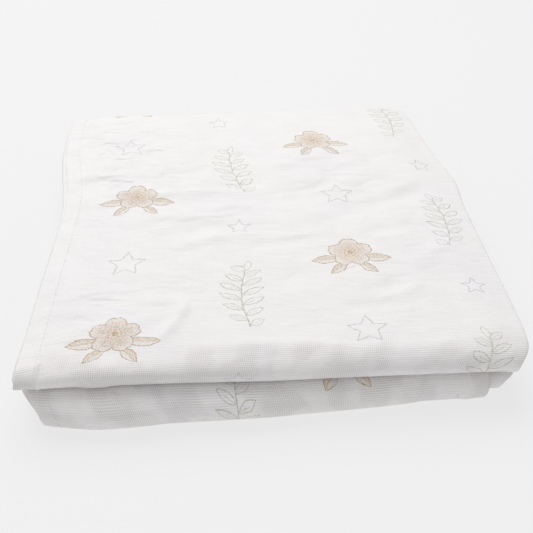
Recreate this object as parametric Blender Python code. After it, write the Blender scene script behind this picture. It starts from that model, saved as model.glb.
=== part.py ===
"""Swaddle blanket: one sheet of double muslin, folded four by four into a flat bundle.

The cloth is one hemmed sheet. Across (X) it is pleated back and forth into a strip of
four plies, the printed face outside. Along (Y) both ends of that strip are turned in
to the middle, and the strip is then closed like a book. That leaves four leaves of four
plies, two rolled edges in front with a groove between them, and one deep turn behind.
From the bottom up the leaves are C, D, A and B, and the strip runs A, B, C, D.

Metres, +Z up. The origin is the middle of the bundle's footprint, on the surface
that it rests on. The front, with the two rolls, is at -Y.
"""
import math
from collections import namedtuple

import bmesh
import bpy
from mathutils import Matrix

MM = 0.001

# The cloth.
WIDTH = 1200 * MM            # of the flat cloth, pleated across
LENGTH = 1240 * MM           # of the flat cloth, folded along
PLY = 1.4 * MM               # thickness of the double gauze
HEM = 12.5 * MM              # width of the hem on all four edges
HEM_STEP = 1.2 * MM          # the hem's inner side thins down to the cloth over this
HEM_EXTRA = 0.4 * MM         # how much the turned hem adds, on its inner side

# The folds.
PLIES = 4                    # plies in a leaf, and leaves in the bundle
PLY_PITCH = 2.7 * MM         # from one ply of a leaf to the next
LOWER_PITCH = 13.0 * MM      # from leaf C, at the bottom, up to leaf D
MIDDLE_PITCH = 11.0 * MM     # from leaf D up to leaf A
UPPER_PITCH = 10.8 * MM      # from leaf A up to leaf B, at the top
BACK_RADIUS = 7.0 * MM       # corners of the deep turn behind, at the strip's middle
FRONT_CENTRE = -146 * MM     # y where the front turns begin
BACK_CENTRE = 150 * MM       # y where the back turn begins
BOOK = BACK_CENTRE - FRONT_CENTRE

AIR = PLY_PITCH - PLY
FOLD_RADIUS = PLY_PITCH / 2
FOLD_ARC = math.pi * FOLD_RADIUS
PANEL = (WIDTH - (PLIES - 1) * FOLD_ARC) / PLIES
LEAF_HALF = (PLIES - 1) / 2 * PLY_PITCH + PLY / 2
RISE = LOWER_PITCH + MIDDLE_PITCH + UPPER_PITCH
HEIGHT = RISE + 2 * LEAF_HALF
REACH = PANEL / 2 + FOLD_RADIUS + PLY / 2      # half the folded strip's width

# The strip's edges, in mm. A row for each section that the folding left uneven.
# place: 0 hem of leaf A, 1 upper front roll, 2 back turn, 3 lower front roll, 4 hem of D
# left, right: the strip's edges there
# fan: how far the inner pair of plies reaches past the outer pair, at the right
Section = namedtuple("Section", "place left right fan")
SECTIONS = (
    Section(0.00, -144, 151, 0),
    Section(0.50, -140, 148, 0),
    Section(0.85, -145, 150, 0),
    Section(1.00, -150, 150, 1),
    Section(1.03, -150, 157, 0),
    Section(1.12, -148, 159.5, 0),
    Section(1.28, -145, 160.5, 0),
    Section(1.50, -140, 162, 0),
    Section(1.60, -141, 164.5, 0),
    Section(1.74, -147, 158, 0),
    Section(1.88, -149, 154, 0),
    Section(2.00, -145, 150, 2),
    Section(2.30, -146, 152, 0),
    Section(2.70, -144, 150, 1),
    Section(2.88, -141, 141, 10),
    Section(2.96, -139, 135, 11),
    Section(3.00, -139.5, 134, 11),
    Section(3.04, -148, 135, 18.5),
    Section(3.14, -150, 141, 11),
    Section(3.35, -146, 147, 2),
    Section(4.00, -145, 150, 0),
)
FAN_START = 0.4              # the fan opens from this share of the strip's width

# The front and back edges, in mm. A row for each station across the bundle.
# lower, upper: how far that front roll lies behind FRONT_CENTRE, less than 0 in front
# groove: how far the groove between the rolls is lifted
# back: how far the back turn lies behind BACK_CENTRE
Station = namedtuple("Station", "x lower upper groove back")
STATIONS = (
    Station(-150, 6.0, 5.0, 6.0, -2.0),
    Station(-130, 0.5, 6.5, 6.0, -0.5),
    Station(-105, -4.0, 7.0, 6.2, 0.5),
    Station(-60, -2.5, 6.0, 5.4, 1.0),
    Station(0, -2.0, 4.5, 3.5, 2.5),
    Station(60, 1.0, 3.5, 2.6, 4.5),
    Station(110, 4.0, 3.0, 1.4, 6.0),
    Station(150, 4.0, 3.0, 0.4, 6.0),
)
EDGE_FADE = 90 * MM          # the stations' shifts die out this far into the bundle
GROOVE_LOW = 14 * MM         # below this a point follows the lower roll
GROOVE_HIGH = 32 * MM        # above this it follows the upper one

# How the pile slumps, in mm. A row for each edge: its top droops over a band inside it.
# side: the edge's direction in x and y; edge: how far out it lies
Droop = namedtuple("Droop", "side edge band drop")
DROOPS = (
    Droop((1, 0), 163, 34, 3.5),
    Droop((-1, 0), 150, 34, 2.0),
    Droop((0, 1), 168, 40, 1.0),
    Droop((0, -1), 156, 34, 1.0),
)
# The slow swells and hollows of the top, in mm.
CROWN = 1.2 * MM
Swell = namedtuple("Swell", "x y radius height")
SWELLS = (
    Swell(-70, 60, 90, 0.9),
    Swell(60, -20, 80, -0.8),
    Swell(95, 90, 70, 0.7),
    Swell(-60, -95, 70, 0.6),
)

# How finely the sheet is divided. The flat stretches have their lines one over another
# from ply to ply, closer near the edges.
PANEL_LINES = (0.08, 0.27, 0.5, 0.73, 0.92)          # shares of a panel's width
LEAF_LINES = (0.07, 0.2, 0.38, 0.57, 0.76, 0.92)     # shares of the way to the back
FOLD_CELLS = 4
ROLL_CELLS = 7
CORNER_CELLS = 3
BACK_CELLS = 2

MUSLIN = (0.86, 0.85, 0.83, 1.0)

# A stretch of the strip: flat where radius is 0, with lines at shares of its length.
Run = namedtuple("Run", "name length radius lines")


def even(cells):
    """Shares that split a stretch into cells."""
    return [k / cells for k in range(1, cells)]


def strip_runs():
    """The runs of the strip from hem to hem."""
    upper, lower = math.pi / 2 * UPPER_PITCH, math.pi / 2 * LOWER_PITCH
    corner = math.pi / 2 * BACK_RADIUS
    back = RISE - 2 * BACK_RADIUS
    tucked = (LENGTH - 2 * BOOK - upper - lower - 2 * corner - back) / 2
    backward = [share * BOOK / tucked for share in LEAF_LINES]
    forward = [1 - share for share in reversed(backward)]
    return (
        Run("leaf A, tucked in", tucked, 0, forward),
        Run("upper front roll", upper, UPPER_PITCH / 2, even(ROLL_CELLS)),
        Run("leaf B, the top", BOOK, 0, LEAF_LINES),
        Run("upper back corner", corner, BACK_RADIUS, even(CORNER_CELLS)),
        Run("back", back, 0, even(BACK_CELLS)),
        Run("lower back corner", corner, BACK_RADIUS, even(CORNER_CELLS)),
        Run("leaf C, the bottom", BOOK, 0, LEAF_LINES),
        Run("lower front roll", lower, LOWER_PITCH / 2, even(ROLL_CELLS)),
        Run("leaf D, tucked in", tucked, 0, backward),
    )


RUNS = strip_runs()


def smooth(t):
    """Ease from 0 to 1 as t goes from 0 to 1."""
    t = min(max(t, 0.0), 1.0)
    return t * t * (3 - 2 * t)


def read(table, column, at):
    """A column of a table at a place between its rows, along a smooth curve."""
    keys = [row[0] for row in table]
    values = [getattr(row, column) for row in table]
    last = len(table) - 1
    at = min(max(at, keys[0]), keys[last])
    i = max(k for k in range(last) if keys[k] <= at)

    def slope(k):
        lo, hi = max(k - 1, 0), min(k + 1, last)
        return (values[hi] - values[lo]) / (keys[hi] - keys[lo])

    span = keys[i + 1] - keys[i]
    t = (at - keys[i]) / span
    ease = smooth(t)
    swing = slope(i) * t * (1 - t) ** 2 - slope(i + 1) * t * t * (1 - t)
    return values[i] * (1 - ease) + values[i + 1] * ease + span * swing


def across(u, out):
    """Pleat the cloth: distance u from its left hem to x and s, the place in the strip.

    out is the distance outside the cloth's middle, towards its printed face. s counts
    outwards from the middle of the strip's four plies.
    """
    stride = PANEL + FOLD_ARC
    panel = min(int(u / stride), PLIES - 1)
    run = u - panel * stride
    side = 1 if panel % 2 == 0 else -1
    level = ((PLIES - 1) / 2 - panel) * PLY_PITCH
    if run <= PANEL:
        return side * (run - PANEL / 2), level + side * out
    angle = (run - PANEL) / FOLD_RADIUS
    radius = FOLD_RADIUS + side * out
    x = side * (PANEL / 2 + radius * math.sin(angle))
    return x, level - FOLD_RADIUS + radius * math.cos(angle)


def along(v, s):
    """Fold the strip: distance v from the hem of leaf A, and s outwards, to y and z."""
    y, z = FRONT_CENTRE + RUNS[0].length, LEAF_HALF + LOWER_PITCH + MIDDLE_PITCH
    heading = math.pi                          # leaf A runs towards the front
    left = v
    for run in RUNS:
        step = min(left, run.length)
        left -= run.length
        out_y, out_z = -math.sin(heading), math.cos(heading)
        if run.radius:
            centre_y, centre_z = y - run.radius * out_y, z - run.radius * out_z
            heading -= step / run.radius
            out_y, out_z = -math.sin(heading), math.cos(heading)
            y, z = centre_y + run.radius * out_y, centre_z + run.radius * out_z
        else:
            y, z = y + step * math.cos(heading), z + step * math.sin(heading)
        if left <= 0:
            break
    return y + s * out_y, z + s * out_z


def landmarks():
    """Distances along the strip of the places 0 to 4 that SECTIONS counts in."""
    start, middles = 0.0, {}
    for run in RUNS:
        middles[run.name] = start + run.length / 2
        start += run.length
    turns = [middles[name] for name in ("upper front roll", "back", "lower front roll")]
    return [0.0] + turns + [LENGTH]


MARKS = landmarks()


def place_of(v):
    """The place along the strip, as SECTIONS counts it."""
    leaf = max(k for k in range(PLIES) if MARKS[k] <= v)
    return leaf + (v - MARKS[leaf]) / (MARKS[leaf + 1] - MARKS[leaf])


def spread(x, s, v):
    """Bring the strip's edges to their section, and fan its plies at the right."""
    place = place_of(v)
    left = read(SECTIONS, "left", place) * MM
    right = read(SECTIONS, "right", place) * MM
    share = (x + REACH) / (2 * REACH)
    inner_pair = smooth(0.5 - s / AIR)
    opening = smooth((share - FAN_START) / (1 - FAN_START))
    fan = read(SECTIONS, "fan", place) * MM * inner_pair * opening
    return left + (right - left) * share + fan


def slump(x, y):
    """How far the top of the pile rises or droops at a place."""
    top = CROWN * math.cos(x / REACH) * math.cos(y / REACH)
    for droop in DROOPS:
        inside = droop.edge * MM - droop.side[0] * x - droop.side[1] * y
        top -= droop.drop * MM * (1 - smooth(inside / (droop.band * MM)))
    for swell in SWELLS:
        away = math.hypot(x - swell.x * MM, y - swell.y * MM)
        top += swell.height * MM * (1 - smooth(away / (swell.radius * MM)))
    return top


def settle(x, y, z):
    """Shift the rolls and the back turn, move the groove and let the pile slump."""
    lower, upper, groove, back = (read(STATIONS, edge, x / MM) * MM
                                  for edge in ("lower", "upper", "groove", "back"))
    rise = smooth((z - GROOVE_LOW) / (GROOVE_HIGH - GROOVE_LOW))
    front_share = 1 - smooth((y - FRONT_CENTRE) / EDGE_FADE)
    back_share = 1 - smooth((BACK_CENTRE - y) / EDGE_FADE)
    y += front_share * (lower + (upper - lower) * rise) + back_share * back
    share = min(z / HEIGHT, 1)
    return x, y, z + groove * math.sin(math.pi * share) + slump(x, y) * share


def fold(u, v, out):
    """A point of the flat cloth, out from its middle, to its place in the bundle."""
    x, s = across(u, out)
    y, z = along(v, s)
    return settle(spread(x, s, v), y, z)


def divide(stretches):
    """Distances of the lines of (length, shares) stretches, and of the hems' lines."""
    lines = [0.0]
    for length, shares in stretches:
        start = lines[-1]
        lines += [start + length * share for share in [*shares, 1]]
    side = lines[-1]
    hems = [HEM, HEM + HEM_STEP, side - HEM - HEM_STEP, side - HEM]
    clear = [at for at in lines if min(abs(at - hem) for hem in hems) > HEM_STEP]
    return sorted(clear + hems)


def columns():
    """Lines across the cloth: four panels with a pleat's fold between them."""
    pleats = [(PANEL, PANEL_LINES), (FOLD_ARC, even(FOLD_CELLS))] * PLIES
    return divide(pleats[:-1])


def rows():
    """Lines along the cloth, run by run."""
    return divide([(run.length, run.lines) for run in RUNS])


def inner_face(u, v):
    """How far the cloth's inner side lies outside its middle, thicker in the hem."""
    edge = min(u, WIDTH - u, v, LENGTH - v)
    in_hem = 1 - smooth((edge - HEM) / HEM_STEP)
    return -PLY / 2 - HEM_EXTRA * in_hem


def folded_plate():
    """The sheet as a flat plate, divided on its lines, with every point then folded."""
    us, vs = columns(), rows()
    wide, deep = len(us) - 1, len(vs) - 1
    plate = bmesh.new()
    one_cell = Matrix.Diagonal((wide, deep, 1, 1))
    bmesh.ops.create_grid(plate, x_segments=wide, y_segments=deep, size=0.5, matrix=one_cell)
    printed = set(plate.verts)
    bmesh.ops.extrude_face_region(plate, geom=plate.faces[:])
    for vert in plate.verts:
        u, v = us[round(vert.co.x + wide / 2)], vs[round(vert.co.y + deep / 2)]
        vert.co = fold(u, v, PLY / 2 if vert in printed else inner_face(u, v))
    bmesh.ops.recalc_face_normals(plate, faces=plate.faces[:])
    return plate


def centre_footprint(plate):
    """Bring the middle of the bundle's footprint to the origin."""
    spans = [[vert.co[axis] for vert in plate.verts] for axis in (0, 1)]
    middle = [(min(span) + max(span)) / 2 for span in spans]
    bmesh.ops.translate(plate, verts=plate.verts[:], vec=(-middle[0], -middle[1], 0))


def muslin():
    """White cotton gauze."""
    material = bpy.data.materials.new("muslin")
    material.use_nodes = True
    shader = material.node_tree.nodes["Principled BSDF"]
    shader.inputs["Base Color"].default_value = MUSLIN
    shader.inputs["Roughness"].default_value = 0.95
    shader.inputs["Metallic"].default_value = 0.0
    return material


def blanket():
    """The folded sheet as one object."""
    plate = folded_plate()
    centre_footprint(plate)
    mesh = bpy.data.meshes.new("blanket")
    plate.to_mesh(mesh)
    plate.free()
    mesh.shade_smooth()
    mesh.materials.append(muslin())
    bpy.context.collection.objects.link(bpy.data.objects.new("blanket", mesh))


for old in list(bpy.data.objects):
    bpy.data.objects.remove(old)
blanket()
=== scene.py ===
"""Folded swaddle blanket: the muslin with its creases, hem stitches and print.

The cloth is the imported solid's sheet, folded by the same sizes and divided more finely, with
its puckered hem and soft creases laid into it. The weave and the print are drawn by
distances on the flat cloth, which the UV map "cloth" keeps.

Metres, +Z up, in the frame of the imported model: the front, with the two rolls, is at -Y.
"""

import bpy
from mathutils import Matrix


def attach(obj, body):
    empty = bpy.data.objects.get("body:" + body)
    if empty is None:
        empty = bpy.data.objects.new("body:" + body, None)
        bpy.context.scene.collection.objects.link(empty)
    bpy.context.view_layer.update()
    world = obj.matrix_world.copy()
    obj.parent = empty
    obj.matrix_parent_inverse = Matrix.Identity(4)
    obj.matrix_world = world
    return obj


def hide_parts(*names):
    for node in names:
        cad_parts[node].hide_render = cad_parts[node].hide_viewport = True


bl_info = {
    "name": "Folded Swaddle Blanket",
    "version": (1, 0, 0),
    "blender": (4, 5, 0),
    "location": "View3D > Sidebar > Swaddle",
    "description": "Builds a folded muslin swaddle blanket with its hem stitches, creases and print",
    "category": "Object",
}

import math
from collections import namedtuple
from types import SimpleNamespace

import bpy
import numpy as np
from bpy.props import FloatProperty, FloatVectorProperty, PointerProperty
from mathutils import Matrix, Vector

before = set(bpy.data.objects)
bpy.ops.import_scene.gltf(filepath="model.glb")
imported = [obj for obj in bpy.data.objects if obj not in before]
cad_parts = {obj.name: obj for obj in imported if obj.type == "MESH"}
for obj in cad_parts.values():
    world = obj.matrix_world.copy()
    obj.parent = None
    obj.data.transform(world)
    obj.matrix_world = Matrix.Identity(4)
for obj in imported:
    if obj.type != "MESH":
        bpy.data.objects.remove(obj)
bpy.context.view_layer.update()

MM = 0.001
CLOTH_MAP = "cloth"  # UV map: metres across and along the flat cloth
# Marks on the points of the sheet, each from 0 up to about 1 or 2.
PRINTED = "printed"  # how much of the print shows
STRETCHED_AND_SHADED = "stretched"  # how far the gauze stretches, which opens its weave, plus painted shade on the lower front roll and the hem's tab
SLACK = "slack"  # how slack the gauze lies, which crinkles it

# ---- the folded cloth


def rows_of(kind, *rows_given):
    """A table whose rows are of that kind."""
    return tuple(kind(*row) for row in rows_given)


# The cloth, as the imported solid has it.
WIDTH = 1200 * MM  # of the flat cloth, pleated across
LENGTH = 1240 * MM  # of the flat cloth, folded along
PLY = 1.4 * MM  # thickness of the double gauze
HEM = 12.5 * MM  # width of the hem on all four edges
HEM_STEP = 1.2 * MM  # the hem thins down to the cloth over this
HEM_EXTRA = 0.4 * MM  # what the turned hem adds, on its inner side

# The folds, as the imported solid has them.
PLIES = 4
PLY_PITCH = 2.7 * MM
LOWER_PITCH = 13.0 * MM  # from leaf C, at the bottom, up to leaf D
MIDDLE_PITCH = 11.0 * MM  # from leaf D up to leaf A
UPPER_PITCH = 10.8 * MM  # from leaf A up to leaf B, at the top
BACK_RADIUS = 7.0 * MM
FRONT_CENTRE = -146 * MM
BACK_CENTRE = 150 * MM
BOOK = BACK_CENTRE - FRONT_CENTRE
FOOTPRINT = Vector((6.60, 4.11, 0)) * MM  # middle of the folded cloth, before it is centred

AIR = PLY_PITCH - PLY
FOLD_RADIUS = PLY_PITCH / 2
FOLD_ARC = math.pi * FOLD_RADIUS
PANEL = (WIDTH - (PLIES - 1) * FOLD_ARC) / PLIES
LEAF_HALF = (PLIES - 1) / 2 * PLY_PITCH + PLY / 2
RISE = LOWER_PITCH + MIDDLE_PITCH + UPPER_PITCH
HEIGHT = RISE + 2 * LEAF_HALF
STRIP_HALF = PANEL / 2 + FOLD_RADIUS + PLY / 2  # half the strip's width

# The strip's edges, in mm, at places 0 to 4 along it, and its fan of plies at the right.
Section = namedtuple("Section", "place left right fan")
SECTIONS = rows_of(
    Section, (0.00, -144, 151, 0), (0.50, -140, 148, 0), (0.85, -145, 150, 0), (1.00, -150, 150, 1),
    (1.03, -150, 157, 0), (1.12, -148, 159.5, 0), (1.28, -145, 160.5, 0), (1.50, -140, 162, 0),
    (1.60, -141, 164.5, 0), (1.74, -147, 158, 0), (1.88, -149, 154, 0), (2.00, -145, 150, 2),
    (2.30, -146, 152, 0), (2.70, -144, 150, 1), (2.88, -141, 141, 10), (2.96, -139, 135, 11),
    (3.00, -139.5, 134, 11), (3.04, -148, 135, 18.5), (3.14, -150, 141, 11), (3.35, -146, 147, 2),
    (4.00, -145, 150, 0))
FAN_START = 0.4  # share of the strip's width where its plies start to fan

# Shifts of the front rolls, the groove between them and the back turn, in mm, along x.
Station = namedtuple("Station", "x lower upper groove back")
STATIONS = rows_of(
    Station, (-150, 6.0, 5.0, 6.0, -2.0), (-130, 0.5, 6.5, 6.0, -0.5), (-105, -4.0, 7.0, 6.2, 0.5),
    (-60, -2.5, 6.0, 5.4, 1.0), (0, -2.0, 4.5, 3.5, 2.5), (60, 1.0, 3.5, 2.6, 4.5),
    (110, 4.0, 3.0, 1.4, 6.0), (150, 4.0, 3.0, 0.4, 6.0))
EDGE_FADE = 90 * MM  # how far in from the front and the back the shifts fade out
GROOVE_LOW = 14 * MM  # below this the bundle shifts with its lower roll
GROOVE_HIGH = 32 * MM  # and above this with its upper roll

# How the pile slumps, in mm.
Droop = namedtuple("Droop", "side edge band drop")
DROOPS = rows_of(
    Droop, ((1, 0), 163, 34, 3.5), ((-1, 0), 150, 34, 2.0), ((0, 1), 168, 40, 1.0),
    ((0, -1), 156, 34, 1.0))
CROWN = 1.2 * MM  # how far the middle of the top stands up
Swell = namedtuple("Swell", "x y radius height")
SWELLS = rows_of(
    Swell, (-70, 60, 90, 0.9), (60, -20, 80, -0.8), (95, 90, 70, 0.7), (-60, -95, 70, 0.6))

# A stretch of the strip, flat where radius is 0, and the cells that it is divided into.
Run = namedtuple("Run", "name length radius cells")
FINE = 2.4 * MM  # cells of the leaf and the panel that show on top
COARSE = 16 * MM  # cells along the leaves inside
WIDE = 24 * MM  # cells across the panels inside
ROLL_CELL = 1.5 * MM  # cells along the front rolls
PLEAT_CELLS = 6  # cells round a pleat's fold
NEAR_GROOVE = 30 * MM  # the tucked leaves have smaller cells over this
DIP_CELL = 0.8 * MM  # cells beside the line of stitches
LEAST_CELL = 0.7 * MM  # lines nearer than this to the hem's are left out

# ---- the creases

# Creases of the top leaf, in mm. x is across, as in the sections, and w is back along the
# cloth from the top of the upper front roll: less than 0 is down the roll. wide: half its
# width; high: above 0 a ridge, below 0 a trough; bow: how far its middle is off a straight line.
Crease = namedtuple("Crease", "x0 w0 x1 w1 wide high bow")
TOP_CREASES = rows_of(
    Crease,
    # from the left hem towards the middle
    (-130, 191, -82, 178, 6, -1.89, 3),
    (-132, 204, -98, 199, 4, 0.94, 1),
    (-70, 181, 10, 185, 4, -1.69, -2),
    (-78, 172, -18, 174, 4, 1.69, 2),
    (-69, 157, -24, 161, 5, -1.89, 2),
    (-34, 152, -2, 154, 3, 1.31, 1),
    (-80, 148, -26, 140, 5, 1.13, -2),
    (-66, 122, 0, 130, 6, -1.51, 3),
    (-50, 113, 4, 119, 5, 1.31, 2),
    (-8, 105, 32, 112, 5, -1.51, 2),
    (4, 115, 52, 122, 4, 1.31, -2),
    # the right half, where the creases climb towards the back
    (28, 172, 76, 191, 5, -1.31, -2),
    (60, 143, 132, 167, 11, -2.82, 4),
    (74, 158, 128, 180, 6, 1.89, -3),
    (80, 116, 114, 123, 6, -1.51, 2),
    (64, 53, 94, 62, 5, -1.31, 1),
    (70, 45, 102, 58, 4, 1.31, -2),
    (50, 38, 72, 42, 7, -1.69, 0),
    (18, 74, 40, 68, 8, -1.69, 2),
    (106, 84, 140, 100, 6, 1.13, 2),
    (98, 214, 134, 226, 6, -1.13, 2),
    (26, 222, 80, 232, 8, 1.13, 3),
    # the left front, a shallow hollow with a ridge at its right
    (-94, 66, -44, 54, 11, -1.89, 3),
    (-120, 37, -102, 35, 5, -1.13, 0),
    (-50, 52, -66, 14, 3.5, 2.64, 2),
    (-60, 46, -78, 18, 7, -1.31, 1),
    (-128, 9, -78, 5, 7, -2.26, 1),
    (-120, -5, -64, -6, 4, 1.51, 1),
    # along the front, just before the roll turns down
    (-40, 6, 40, 3, 5, 1.69, 2),
    (32, 2, 126, 3, 4, 1.31, -1),
    (-34, -4, 66, -7, 4, -1.13, 1),
    # under the upper front roll: drawn in at its left end, and hanging lower beside that
    (-160, -13, -138, -13, 6, -2.00, 0),
    (-112, -13, -96, -13, 7, 0.60, 0),
    # the back left corner
    (-112, 274, -108, 208, 4, 1.30, -2),
    (-128, 282, -124, 234, 6, -1.17, 1),
    (-98, 274, -97, 246, 4, -0.91, 0),
    (-86, 266, -42, 254, 5, -0.91, 2),
    (-54, 240, 0, 246, 6, 0.78, -2),
)
# Creases of the lower front roll, w up the cloth from its middle.
LOWER_CREASES = rows_of(
    Crease, (-116, -4, -112, 10, 4, -1.28, 1), (-122, 2, -90, 7, 4, 0.64, 1),
    (-68, -1, -42, 2, 5, -0.96, 1), (-40, 4, -2, 1, 4, 0.56, 1), (14, -2, 40, 5, 5, -0.56, 1),
    (46, 1, 98, 4, 5, 0.56, -1), (90, -6, 110, 6, 5, -0.72, 1), (118, 6, 124, -8, 4, 0.64, 0))
# Creases of the back turn, w up the cloth from its middle.
BACK_CREASES = rows_of(
    Crease, (-96, 8, -52, 4, 6, 1.0, 1), (-70, -6, -8, -9, 7, -0.9, 2),
    (-18, 11, 36, 5, 6, 1.0, -2), (22, -4, 78, -7, 6, 0.8, 1), (58, 9, 108, 13, 7, -1.0, 2),
    (100, -3, 136, 2, 5, 0.8, 0), (-134, -6, -108, 3, 5, -0.8, 1), (-128, 14, -122, -12, 6, 0.7, 0))
# Where each set of creases is felt along w, and how far it takes to fade, in mm.
Reach = namedtuple("Reach", "first last fade_in fade_out")
TOP_REACH = Reach(-24, BOOK / MM + 8, 8, 12)
LOWER_REACH = Reach(-9, 13, 5, 5)
BACK_REACH = Reach(-26, 26, 8, 8)
# Hollows where the hem is puckered, w as for the top, in mm.
Pucker = namedtuple("Pucker", "w wide deep")
PUCKERS = rows_of(
    Pucker, (272, 6, 0.7), (250, 4, 0.5), (229, 7, 1.0), (207, 4, 0.5), (186, 6, 1.0),
    (160, 5, 0.9), (139, 4, 0.5), (121, 5, 0.6), (98, 6, 0.8), (77, 4, 0.5), (58, 5, 0.8),
    (37, 4, 0.6), (19, 5, 0.8))
PUCKER_MIDDLE = 0.45  # where they are deepest, as a share of the hem's width
PUCKER_HALF = 0.42  # half their extent across it
# Where the gauze of the top lies slack, and how slack it is.
Patch = namedtuple("Patch", "x w radius share")
SLACK_PATCHES = rows_of(
    Patch, (-112, 246, 95, 1.5), (-98, 174, 90, 0.65), (-30, 132, 80, 0.5), (74, 122, 82, 0.6),
    (60, 200, 70, 0.6), (45, 44, 58, 0.5), (-92, 44, 62, 0.9), (20, 215, 60, 0.5))
SLACK_ELSEWHERE = 0.22
STITCH_DIP = 0.22 * MM  # how far the stitches draw the cloth in
STITCH_DIP_WIDE = 1.3 * MM  # half the width of that dip
HEM_LIFT = 0.35 * MM  # how much higher the hem lies
# The stiff hem bends twice round the upper front roll: w, half width, height, in mm.
TAB_BENDS = ((-1.4, 3.2, 1.3), (-6.6, 3.0, -0.8), (-12.4, 2.4, 0.7))
# Its corner flares out at the left under that roll: w, half width, reach, in mm.
TAB_FLARE = (-12.0, 6.0, 2.2)
HEM_ROUND = 0.9 * MM  # radius of the hem's turned edge
LEAST_EDGE = 0.3  # the turned edge's least thickness, as a share of the ply's
SHOWS_THROUGH = 0.25  # how much of the print shows on the other side
# Small random creases, beside those listed: from and to, in mm, as above. half_long: half
# the length; high: where the gauze is fully slack; turn: the mean and spread, in degrees.
CRINKLE = SimpleNamespace(
    count=170, seed=11, x=(-146, 150), w=(-6, 290), half_long=(8, 26), turn=(7, 11),
    wide=(2.6, 4.6), high=(0.1, 0.6), bow=(-2, 2))
# Slow waves of the side edges: along the cloth, through the plies, and how far, in mm.
Wave = namedtuple("Wave", "along through reach")
EDGE_WAVES = rows_of(Wave, (37, 3.1, 0.7), (61, -5.3, 0.8), (19, 2.2, 0.35))
EDGE_WAVE_FADE = 40 * MM  # how far in from the edge they fade out
STRETCH_FADE = 14 * MM  # how far past a roll its stretch fades out
# How far each front roll opens the weave, plus painted shade: the lower roll's is higher to darken it.
ROLL_STRETCH_AND_SHADE = {"upper front roll": 0.9, "lower front roll": 1.2}
TAB_SHADE = 0.3  # painted shade: darker gaps where the hem goes round the upper front roll
TAB_REACH = Reach(-17, -1.4, 1, 1.2)


def strip_runs():
    """The runs of the strip from hem to hem."""
    upper, lower = math.pi / 2 * UPPER_PITCH, math.pi / 2 * LOWER_PITCH
    corner = math.pi / 2 * BACK_RADIUS
    back = RISE - 2 * BACK_RADIUS
    tucked = (LENGTH - 2 * BOOK - upper - lower - 2 * corner - back) / 2
    return (
        Run("leaf A, tucked in", tucked, 0, COARSE),
        Run("upper front roll", upper, UPPER_PITCH / 2, ROLL_CELL),
        Run("leaf B, the top", BOOK, 0, FINE),
        Run("upper back corner", corner, BACK_RADIUS, FINE),
        Run("back", back, 0, FINE),
        Run("lower back corner", corner, BACK_RADIUS, FINE),
        Run("leaf C, the bottom", BOOK, 0, COARSE),
        Run("lower front roll", lower, LOWER_PITCH / 2, ROLL_CELL),
        Run("leaf D, tucked in", tucked, 0, COARSE),
    )


RUNS = strip_runs()


def run_start(name):
    """Distance along the strip to the start of a run."""
    names = [run.name for run in RUNS]
    return sum(run.length for run in RUNS[:names.index(name)])


TOP_START = run_start("leaf B, the top")
LOWER_ROLL_MIDDLE = run_start("lower front roll") + math.pi / 4 * LOWER_PITCH
BACK_MIDDLE = (run_start("back") + run_start("lower back corner")) / 2


def smooth(t):
    """Ease from 0 to 1 as t goes from 0 to 1."""
    t = np.clip(t, 0.0, 1.0)
    return t * t * (3 - 2 * t)


def read(table, column, at):
    """A column of a table at places between its rows, along a smooth curve."""
    keys = np.array([row[0] for row in table], float)
    values = np.array([getattr(row, column) for row in table], float)
    rises, spans = (np.append(a[1:], a[-1]) - np.append(a[0], a[:-1]) for a in (values, keys))
    slopes = rises / spans
    at = np.clip(at, keys[0], keys[-1])
    i = np.clip(np.searchsorted(keys, at, side="right") - 1, 0, len(keys) - 2)
    span = keys[i + 1] - keys[i]
    t = (at - keys[i]) / span
    ease = smooth(t)
    swing = slopes[i] * t * (1 - t) ** 2 - slopes[i + 1] * t * t * (1 - t)
    return values[i] * (1 - ease) + values[i + 1] * ease + span * swing


def across(u, out):
    """Pleat the cloth: distance u from its left hem to x and s, the place in the strip."""
    stride = PANEL + FOLD_ARC
    panel = np.minimum(np.floor(u / stride), PLIES - 1)
    run = u - panel * stride
    side = 1 - 2 * (panel % 2)
    level = ((PLIES - 1) / 2 - panel) * PLY_PITCH
    angle = np.maximum(run - PANEL, 0) / FOLD_RADIUS
    radius = FOLD_RADIUS + side * out
    x = side * (np.minimum(run, PANEL) - PANEL / 2 + radius * np.sin(angle))
    return x, level - FOLD_RADIUS + radius * np.cos(angle)


def along(v, s):
    """Fold the strip: distance v from the hem of leaf A, and s outwards, to y and z."""
    y = np.full_like(v, FRONT_CENTRE + RUNS[0].length)
    z = np.full_like(v, LEAF_HALF + LOWER_PITCH + MIDDLE_PITCH)
    heading = np.full_like(v, math.pi)
    start = 0.0
    for run in RUNS:
        step = np.clip(v - start, 0, run.length)
        start += run.length
        if run.radius:
            bent = heading - step / run.radius
            y = y + run.radius * (np.sin(heading) - np.sin(bent))
            z = z + run.radius * (np.cos(bent) - np.cos(heading))
            heading = bent
        else:
            y, z = y + step * np.cos(heading), z + step * np.sin(heading)
    return y - s * np.sin(heading), z + s * np.cos(heading)


def own_length(u, v):
    """Distance along the cloth on its own ply, longer on the outside of a turn."""
    _, s = across(u, 0)
    bent, start = 0.0, 0.0
    for run in RUNS:
        if run.radius:
            bent = bent + np.clip(v - start, 0, run.length) / run.radius
        start += run.length
    return v + s * bent


def place_of(v):
    """The place along the strip, as SECTIONS counts it."""
    middles = {run.name: run_start(run.name) + run.length / 2 for run in RUNS}
    turns = [middles[name] for name in ("upper front roll", "back", "lower front roll")]
    return np.interp(v, [0.0, *turns, LENGTH], range(PLIES + 1))


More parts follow.
